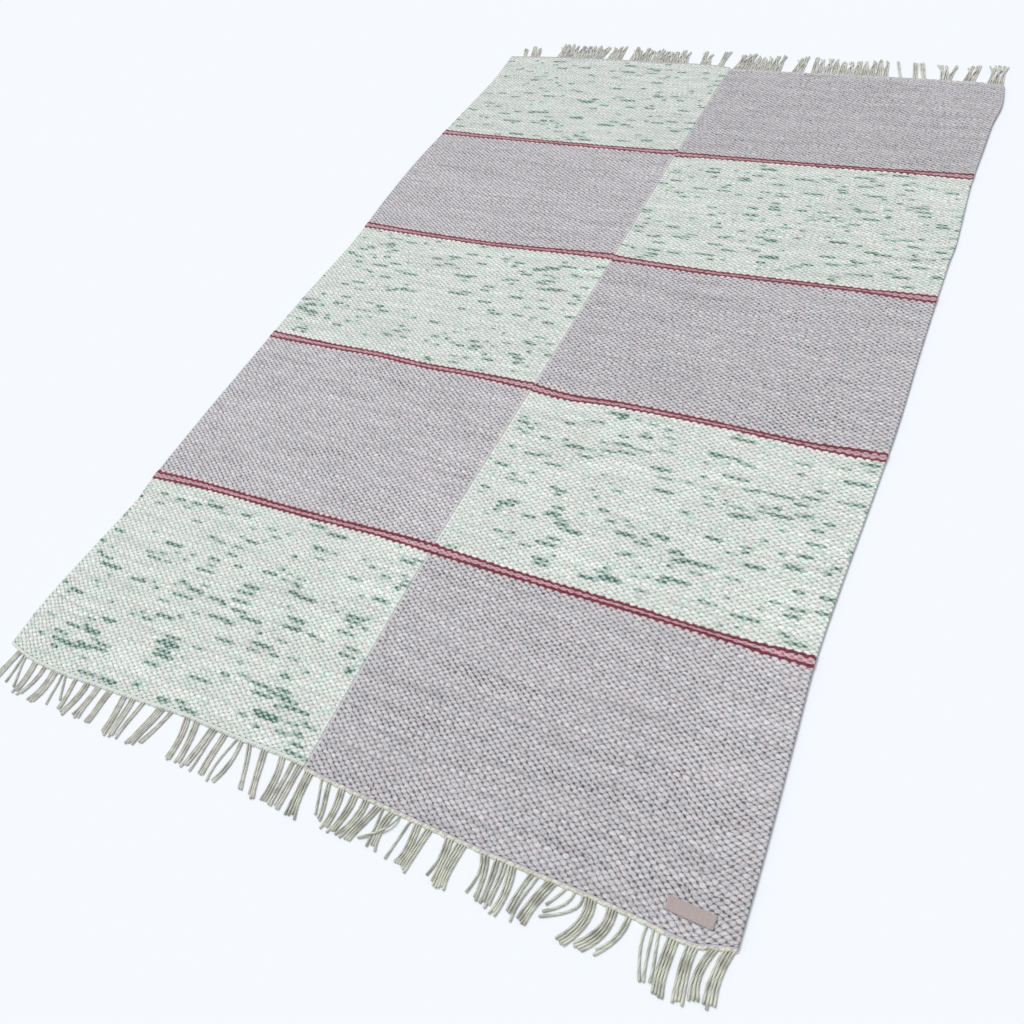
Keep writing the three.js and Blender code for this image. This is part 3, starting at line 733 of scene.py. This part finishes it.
def twined_heading(name, start, stop, line, inward):
    """The two twined yarns as one band: its profile, from the cloth outwards, runs along the end line. Its
    outer side swells by cos(2 pi x / pitch + slant out), as the yarns turn, and by a slower uneven sine."""
    beads = int(round((stop - start) / BEAD_PITCH))
    x = np.linspace(start + END_INSET, stop - END_INSET, beads * STEPS_IN_BEAD + 1)
    out, up = HEADING_PROFILE.T
    swell = TURN_SWELL * np.cos(2 * np.pi * x[:, None] / BEAD_PITCH + TURN_SLANT * out)
    swell += HAND_SWELL * np.sin(x[:, None] * 0.31 + 2.0 * out)
    swell = 1 + swell * (out > 0) * (up > 0)
    y = line(x)[:, None] + inward * (HEADING_WIDTH - CLOTH_CLEARANCE - out * swell)
    z = up * (0.4 + 0.6 * np.minimum(swell, 1.06))
    run = np.broadcast_to(x[:, None], y.shape)
    points = np.stack([run, y, z], axis=-1)
    faces = tube_faces(1, *y.shape)
    if inward > 0:
        faces = [face[::-1] for face in faces]
    uv = np.stack([np.broadcast_to(out / HEADING_WIDTH, y.shape), run], -1).reshape(-1, 2)
    return piece(name, points.reshape(-1, 3), faces, uv)


ENDS = {
    "near_left": (left_edge(0.0), seam_left(0.0), NEAR_LEFT_END, near_end, -1),
    "near_right": (seam_right(0.0), right_edge(0.0), NEAR_RIGHT_END, near_end, -1),
    "far_left": (left_edge(RUG_LENGTH), seam_left(RUG_LENGTH), FAR_LEFT_END, far_end, 1),
    "far_right": (seam_right(RUG_LENGTH), right_edge(RUG_LENGTH), FAR_RIGHT_END, far_end, 1),
}

WHITISH = srgb(234, 238, 230)
WHITISH_SHADE = srgb(204, 208, 198)
CREAM = srgb(238, 240, 222)
CREAM_SHADE = srgb(196, 198, 176)
CORD = srgb(224, 224, 214)
CORD_SHADE = srgb(152, 148, 138)
# A little darker yarn for the cords at the near right, with much darker painted shade in its furrows
DARKER_CORD = srgb(218, 220, 206)
DARKER_CORD_SHADE = srgb(122, 118, 106)
YARN_RELIEF = 0.4

# Ply: the strands of a yarn wind round it, so that their furrows run at a slant
ply_inputs = {"Threads": "Vector", "Strands": "Float", "Pitch": "Float"}
ply, given, made = group("wound ply", ply_inputs, {"Furrow": "Float"})
around, run, _ = split(ply, given["Threads"])
turns = maths(ply, "DIVIDE", run, given["Pitch"])
phase = times_plus(ply, around, given["Strands"], turns)
feed(ply, made["Furrow"], maths(ply, "ABSOLUTE", maths(ply, "SINE", times(ply, phase, np.pi))))


def cotton_yarn(name, light, dark, strands, pitch, cloth=None):
    """Cotton yarn in its natural colour: painted shade in its furrows, darker in uneven patches, and a soft
    uneven surface. Where it locks the cloth, the cloth's own colour shows through in patches on its inner
    side."""
    material, tree, yarn, threads = new_cotton(name)
    furrow = placed(tree, ply, Threads=threads, Strands=strands, Pitch=pitch)["Furrow"]
    where = tree.nodes.new("ShaderNodeTexCoord").outputs["Object"]
    patches = ramp(tree, noise(tree, where, 60.0), 0.3, 0.6, 0.5, 1.0)
    shade = times(tree, ramp(tree, furrow, 0.0, 0.7, 0.55, 1.0), patches)
    colour = blended(tree, shade, dark, light)
    if cloth is not None:
        outwards = split(tree, threads)[0]
        locked = times_plus(tree, noise(tree, where, 190.0), 1.6, outwards)
        colour = blended(tree, ramp(tree, locked, 1.1, 1.35), cloth, colour)
    feed(tree, yarn.inputs["Base Color"], colour)
    fuzz = noise(tree, where, 1500.0)
    raised(tree, yarn, times_plus(tree, fuzz, 0.4, furrow), YARN_RELIEF, strength=0.7)
    return material


mint_heading = cotton_yarn("cream yarn over mint", WHITISH, WHITISH_SHADE, 1, 5.15, srgb(222, 230, 222))
mauve_heading = cotton_yarn("cream yarn over mauve", CREAM, CREAM_SHADE, 1, 5.15, srgb(198, 192, 196))
for place, (start, stop, rows, end, outward) in ENDS.items():
    heading = twined_heading(place + "_heading", start, stop, lambda x: end(rows, x), -outward)
    heading.data.materials.append(mint_heading if place == "near_left" else mauve_heading)
    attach(heading, "root")
    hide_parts(place + "_fringe")

# Fringe
# The warps run on past the heading in small tufts of twisted cotton cords, which lie on the floor. Some
# tufts lean and cross, because the rug was shaken out and laid down.
CORD_RADIUS = 1.36
CORD_RISE = 1.13
CORD_SIDES = 6
CORD_WOBBLE = 0.5
CORD_RINGS = np.array([0.0, 0.14, 0.28, 0.42, 0.56, 0.7, 0.84, 0.96, 1.0])
RING_SWELL = np.array([0.9, 1.0, 1.0, 1.0, 1.0, 1.0, 1.05, 1.2, 1.0])
CORD_PITCH_AT_ROOT = 3.2
CORD_PITCH = 2.95
ROOT_DEPTH = 2.0
LENGTH_UNEVENNESS = 2.4
CLOSE_TUFTS = 17.0
STRAY_LEAN = 8.0
STRAY_HUMP = 2.4

# One row for each tuft: where across the rug it starts, is half way, and ends, how far it reaches and how
# many cords it has. Where they differ from the usual ones, how far apart its tips are, and how high it humps
# over the cords it crosses, follow.
USUAL_ENDING = (3, 0)
TUFTS = {
    "near_left": [
        (20, 18, 16, 48, 3), (30, 34, 36, 43, 1), (35, 43, 53, 42, 1), (55, 60, 60, 45, 3),
        (74, 75, 68, 44, 2), (93, 96, 91, 45, 4, 3.2), (107, 113, 118, 44, 1), (113, 122, 131, 29, 1),
        (131, 136, 139, 44, 2), (151, 152, 147, 46, 3), (170, 170, 169, 44, 3, 5.5), (190, 190, 190, 48, 3),
        (214, 219, 222, 51, 3), (228, 231, 232.5, 51, 3), (245, 243, 242, 50, 2),
        (274, 270, 265, 52, 4, 3.2), (290, 285, 277, 50, 2), (316, 324, 326, 52, 3), (331, 338, 341, 52, 3),
        (356, 355, 352, 53, 3), (363, 363, 363, 54, 1), (376, 377, 379, 55, 3), (395, 390, 391, 55, 1),
        (402, 405, 398, 56, 2), (414, 427, 438, 53, 2), (436, 445, 455, 54, 3, 3.4),
        (462, 470, 471, 55, 3, 3.2), (478, 480, 481.5, 55, 2, 3.2), (489, 490, 491, 53, 3),
    ],
    "near_right": [
        (504, 507, 512, 51, 4, 4.4), (523, 532, 540, 40, 1), (534, 541, 546, 40, 2), (552, 557, 556, 46, 3),
        (570, 571, 566, 46, 3), (586, 585, 576.5, 45, 3), (602, 595, 587, 48, 3), (609, 611, 613, 42, 1),
        (621, 618, 621, 42, 3), (631, 623, 597, 39, 1, 3, 3), (645, 642, 639, 47, 1),
        (655, 657, 653, 47, 3), (669, 666, 663, 48, 3), (691, 694, 689, 45, 1), (697, 699, 700, 47, 2),
        (710, 708, 709.5, 48, 4), (734, 741, 736, 44, 1), (741, 747, 749, 43, 2), (753, 756, 757, 44, 2),
        (762, 764, 763.5, 46, 2), (771, 775, 772, 50, 3), (793, 788, 786, 44, 2), (800, 794, 792, 48, 1),
        (815, 807, 802, 46, 4, 3.2), (831, 825, 817, 24, 1), (841, 835, 814, 31, 1), (850, 844, 813, 36, 1),
        (859, 859, 846, 48, 4, 3.2), (882, 880, 864, 45, 4, 3.2), (900, 896, 881, 43, 2),
        (919, 921, 929, 47, 1), (926, 929, 934, 50, 1), (932, 936, 939, 46, 1), (946, 946, 949, 51, 4, 3.2),
        (965, 965, 968, 50, 4), (984, 978, 981, 48, 3, 4), (998, 994, 996, 53, 4, 3.4),
    ],
    "far_left": [
        (25, 19, 14, 35, 3), (44, 36, 30, 48, 3), (58, 53, 48, 32, 2), (104, 103, 99, 60, 2),
        (113, 112, 108, 56, 2), (126, 124, 119, 60, 2, 3.4), (140, 137, 132, 48, 2, 3.4),
        (151, 149, 146, 54, 2, 3.4), (164, 162, 159, 56, 2, 3.4), (178, 175, 172, 56, 2),
        (191, 188, 184, 55, 2), (204, 205, 206, 54, 3), (221, 222, 222, 50, 2, 3.4), (235, 234, 233, 56, 2),
        (248, 246, 243, 58, 2), (274, 273, 272, 57, 3), (286, 285, 283, 45, 2), (300, 298, 296, 56, 3),
        (313, 310, 307, 48, 2), (328, 330, 331, 55, 3), (343, 343, 342, 47, 2, 3.4), (356, 355, 353, 48, 2),
        (370, 367, 364, 47, 3), (385, 381, 377, 55, 3), (398, 393, 389, 43, 2), (430, 428, 425, 53, 3),
        (446, 442, 438, 40, 2), (470, 470, 470, 60, 4, 4.4),
    ],
    "far_right": [
        (501, 506, 510, 58, 2), (515, 517, 519, 66, 2), (530, 529, 528, 66, 2), (545, 543, 541, 57, 2),
        (557, 555, 553, 52, 2, 3.4), (568, 567, 565, 54, 2, 3.4), (580, 578, 577, 64, 3),
        (593, 591, 589, 66, 2), (621, 624, 626, 60, 2), (635, 635, 634, 64, 3), (660, 657, 654, 62, 3),
        (674, 670, 667, 54, 2), (688, 685, 682, 61, 2), (702, 698, 694, 58, 2), (716, 713, 710, 50, 3),
        (730, 727, 724, 50, 2, 3.4), (744, 741, 738, 56, 3), (758, 754, 750, 54, 2), (771, 768, 764, 60, 2),
        (785, 780, 776, 64, 2), (799, 793, 788, 60, 2), (824, 815, 807, 62, 2), (849, 845, 840, 58, 3),
        (866, 858, 851, 60, 3), (896, 892, 887, 57, 2), (903, 901, 897, 55, 1), (909, 911, 914, 58, 2),
        (934, 939, 942, 58, 2), (949, 951, 952, 61, 3), (977, 979, 979, 60, 2), (989, 988, 987, 66, 2),
        (1000, 998, 995, 70, 2),
    ],
}


def corded(name, paths, radius, sides, swell):
    """Round cords along paths, an array of cords by steps by place: at each step a ring of the radius
    times that step's swell, square to the path, and a cap at each end."""
    cords, steps = paths.shape[:2]
    ahead = np.gradient(paths, axis=1)
    length = np.cumsum(np.linalg.norm(ahead, axis=-1), axis=1)
    ahead /= np.linalg.norm(ahead, axis=-1, keepdims=True)
    side = np.cross(ahead, (0.0, 0.0, 1.0))
    side /= np.linalg.norm(side, axis=-1, keepdims=True)
    up = np.cross(side, ahead)
    angle = np.linspace(0, 2 * np.pi, sides, endpoint=False)
    reach = np.broadcast_to(radius * swell[:, None], (cords, steps, sides))
    points = (
        paths[:, :, None, :]
        + (reach * np.cos(angle))[..., None] * side[:, :, None, :]
        + (reach * np.sin(angle))[..., None] * up[:, :, None, :]
    )
    share = np.broadcast_to(angle / (2 * np.pi), reach.shape)
    run = np.broadcast_to(length[..., None], reach.shape)
    uv = np.stack([share, run], -1).reshape(-1, 2)
    return piece(name, points.reshape(-1, 3), tube_faces(cords, steps, sides), uv)


def uneven(number):
    """A steady uneven number from -1 to 1 for each whole number."""
    return np.sin(number * 12.9898 + np.cos(number * 4.1414) * 7.3)


def with_strays(rows):
    """The tufts, and in each narrow gap of the row two single cords that lean over their neighbours, one to
    each side, as in a tangle."""
    gap = np.flatnonzero(np.diff(rows[:, 0]) < CLOSE_TUFTS)
    between = (rows[gap] + rows[gap + 1]) / 2
    for side in (-1, 1):
        stray = between.copy()
        lean = side * STRAY_LEAN * (1 + 0.5 * uneven(gap * 3 + side))
        stray[:, 1] += 0.3 * lean
        stray[:, 2] += lean
        stray[:, 3] *= 0.9 + 0.08 * uneven(gap * 7 + side)
        stray[:, 4:] = (1, CORD_PITCH, STRAY_HUMP)
        rows = np.concatenate([rows, stray])
    return rows


def fringe_cords(name, rows, line, outward):
    """Cords side by side along the parabola through their tuft's root, half-way point and tip:
    from (1-t)(1-2t) + half 4t(1-t) + to t(2t-1), each a little longer or shorter than the next."""
    counts = rows[:, 4].astype(int)
    root, middle, tip, reach, strands, fan, hump = np.repeat(rows, counts, axis=0).T
    tuft_number = np.repeat(np.arange(len(rows)), counts)
    in_tuft = np.concatenate([np.arange(count) for count in counts])
    lane = in_tuft - (strands - 1) / 2
    near_pitch = CORD_PITCH * np.hypot(tip - root, reach) / reach
    far_pitch = CORD_PITCH * np.hypot(root - 4 * middle + 3 * tip, reach) / reach
    start = (root + lane * CORD_PITCH_AT_ROOT)[:, None]
    half = (middle + lane * near_pitch)[:, None]
    stop = (tip + lane * np.maximum(fan, far_pitch))[:, None]
    last = 1 + LENGTH_UNEVENNESS * uneven(tuft_number * 9 + in_tuft) / reach
    t = -ROOT_DEPTH / reach[:, None] + (last + ROOT_DEPTH / reach)[:, None] * CORD_RINGS
    x = start * (1 - t) * (1 - 2 * t) + half * 4 * t * (1 - t) + stop * t * (2 * t - 1)
    x = x + CORD_WOBBLE * uneven(tuft_number * 5 + in_tuft)[:, None] * np.sin(2 * np.pi * CORD_RINGS)
    y = line(start) + outward * t * reach[:, None]
    z = CORD_RADIUS * CORD_RISE + hump[:, None] * np.sin(np.pi * CORD_RINGS)
    return corded(name, np.stack([x, y, z], -1), CORD_RADIUS, CORD_SIDES, RING_SWELL)


fringe_yarn = cotton_yarn("cream fringe yarn", CORD, CORD_SHADE, 2, 11.0)
darker_yarn = cotton_yarn("darker fringe yarn", DARKER_CORD, DARKER_CORD_SHADE, 2, 11.0)
for place, (start, stop, rows, end, outward) in ENDS.items():
    tufts = np.array([row + USUAL_ENDING[len(row) - 5:] for row in TUFTS[place]], float)
    if outward > 0:
        tufts = with_strays(tufts)
    fringe = fringe_cords(place + "_cords", tufts, lambda x: end(rows, x), outward)
    fringe.data.materials.append(darker_yarn if place == "near_right" else fringe_yarn)
    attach(fringe, "root")
    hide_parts(place + "_fringe")

# Label
# A small tab of ribbed cotton tape near the near right corner, its two short ends folded under and sewn
# down to the cloth.
LABEL_LENGTH = 50.0
LABEL_WIDTH = 15.0
LABEL_THICKNESS = 0.8
LABEL_FOLD = 4.0
LABEL_FOLD_RISE = 0.4
LABEL_CENTRE = np.array([954.5, 12.5, 5.3])
LABEL_TURN = np.radians(-2.0)
FOLD_EDGE = 0.8
RIM_EDGE = 0.6
TAPE_PINK = srgb(210, 193, 191)
TAPE_PALE = srgb(223, 208, 205)
# Painted shade in the grooves between the ribs
TAPE_GROOVE_SHADE = srgb(160, 140, 142)
RIBS = 9.0
TAPE_RELIEF = 0.15
TAPE_STEPS = (61, 19)


def sewn_label():
    """A grid of tape, thicker over the fold at each short end and rounded down at its rim, over a flat
    underside."""
    across, up = (np.linspace(-0.5, 0.5, steps) for steps in TAPE_STEPS)
    u, v = np.meshgrid(across * LABEL_LENGTH, up * LABEL_WIDTH)
    from_end = LABEL_LENGTH / 2 - np.abs(u)
    fold = np.clip((LABEL_FOLD + FOLD_EDGE - from_end) / FOLD_EDGE, 0, 1)
    rim = np.clip(np.minimum(from_end, LABEL_WIDTH / 2 - np.abs(v)) / RIM_EDGE, 0, 1)
    z = LABEL_THICKNESS * (0.6 + 0.4 * np.sqrt(rim)) + LABEL_FOLD_RISE * fold * rim
    top = np.stack([u, v, z], -1)
    index = np.arange(u.size).reshape(u.shape)
    high = rim_of(index)
    low = index.size + np.arange(len(high))
    points = np.concatenate([top.reshape(-1, 3), top.reshape(-1, 3)[high] * (1, 1, 0)])
    uv = points[:, :2].copy()
    turned = points @ np.array(Matrix.Rotation(LABEL_TURN, 3, "Z")).T
    faces = cells_of(index).reshape(-1, 4).tolist() + wall(high, low).tolist() + [low[::-1].tolist()]
    return piece("label_tape", turned + LABEL_CENTRE, faces, uv)


def ribbed_tape():
    """Ribs that run at a slant over the tape, with painted shade in their grooves, on a faintly blotched
    dye.
    """
    material, tree, tape, threads = new_cotton("ribbed label tape", roughness=0.85, sheen=0.0, specular=0.5)
    along, across, _ = split(tree, threads)
    ribs = maths(tree, "SINE", times(tree, maths(tree, "ADD", along, across), RIBS))
    patches = noise(tree, threads, 0.6, 3.0)
    colour = blended(tree, ramp(tree, patches, 0.3, 0.7), TAPE_PINK, TAPE_PALE)
    colour = blended(tree, ramp(tree, ribs, -1.0, 0.5, 0.3, 0.0), colour, TAPE_GROOVE_SHADE)
    feed(tree, tape.inputs["Base Color"], colour)
    raised(tree, tape, ribs, TAPE_RELIEF)
    return material


label = sewn_label()
label.data.materials.append(ribbed_tape())
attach(label, "root")
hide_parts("label")

# Studio
# A plain pale floor under wide soft light from all round, a little stronger from high on the left, and a
# camera where the photographer stood.
FLOOR_SIZE = 60.0
FLOOR_COLOUR = srgb(245, 248, 253)
SKY_COLOUR = srgb(250, 252, 255)
SKY_STRENGTH = 0.56
SOFTBOX_STRENGTH = 1.69
SOFTBOX_WIDTH = np.radians(30.0)
SOFTBOX_DIRECTION = Vector((0.45, -0.15, -0.88))

floor_mesh = bpy.data.meshes.new("floor")
half = FLOOR_SIZE / 2
floor_corners = [(-half, -half, 0), (half, -half, 0), (half, half, 0), (-half, half, 0)]
floor_mesh.from_pydata(floor_corners, [], [(0, 1, 2, 3)])
floor = linked("floor", floor_mesh)
paint = bpy.data.materials.new("pale floor")
paint.use_nodes = True
matte = paint.node_tree.nodes["Principled BSDF"].inputs
matte["Base Color"].default_value = FLOOR_COLOUR
matte["Roughness"].default_value = 1.0
matte["Specular IOR Level"].default_value = 0.0
floor_mesh.materials.append(paint)

world = bpy.data.worlds.new("soft studio")
world.use_nodes = True
sky = world.node_tree.nodes["Background"].inputs
sky["Color"].default_value = SKY_COLOUR
sky["Strength"].default_value = SKY_STRENGTH
bpy.context.scene.world = world

softbox = bpy.data.lights.new("softbox", "SUN")
softbox.energy = SOFTBOX_STRENGTH
softbox.angle = SOFTBOX_WIDTH
lamp = linked("softbox", softbox)
lamp.rotation_euler = SOFTBOX_DIRECTION.to_track_quat("-Z", "Y").to_euler()

# Where the photographer stood, in metres, and how the camera is turned about x, y and z, in degrees
STAND = (0.5827, -1.0611, 0.9832)
CAMERA_TURNS = (39.78, 10.06, 25.55)
lens = bpy.data.cameras.new("camera")
lens.sensor_width = 36.0
lens.lens = 33.73
camera = linked("camera", lens)
camera.location = STAND
camera.rotation_euler = np.radians(CAMERA_TURNS)
bpy.context.scene.camera = camera
bpy.context.scene.view_settings.view_transform = "Standard"
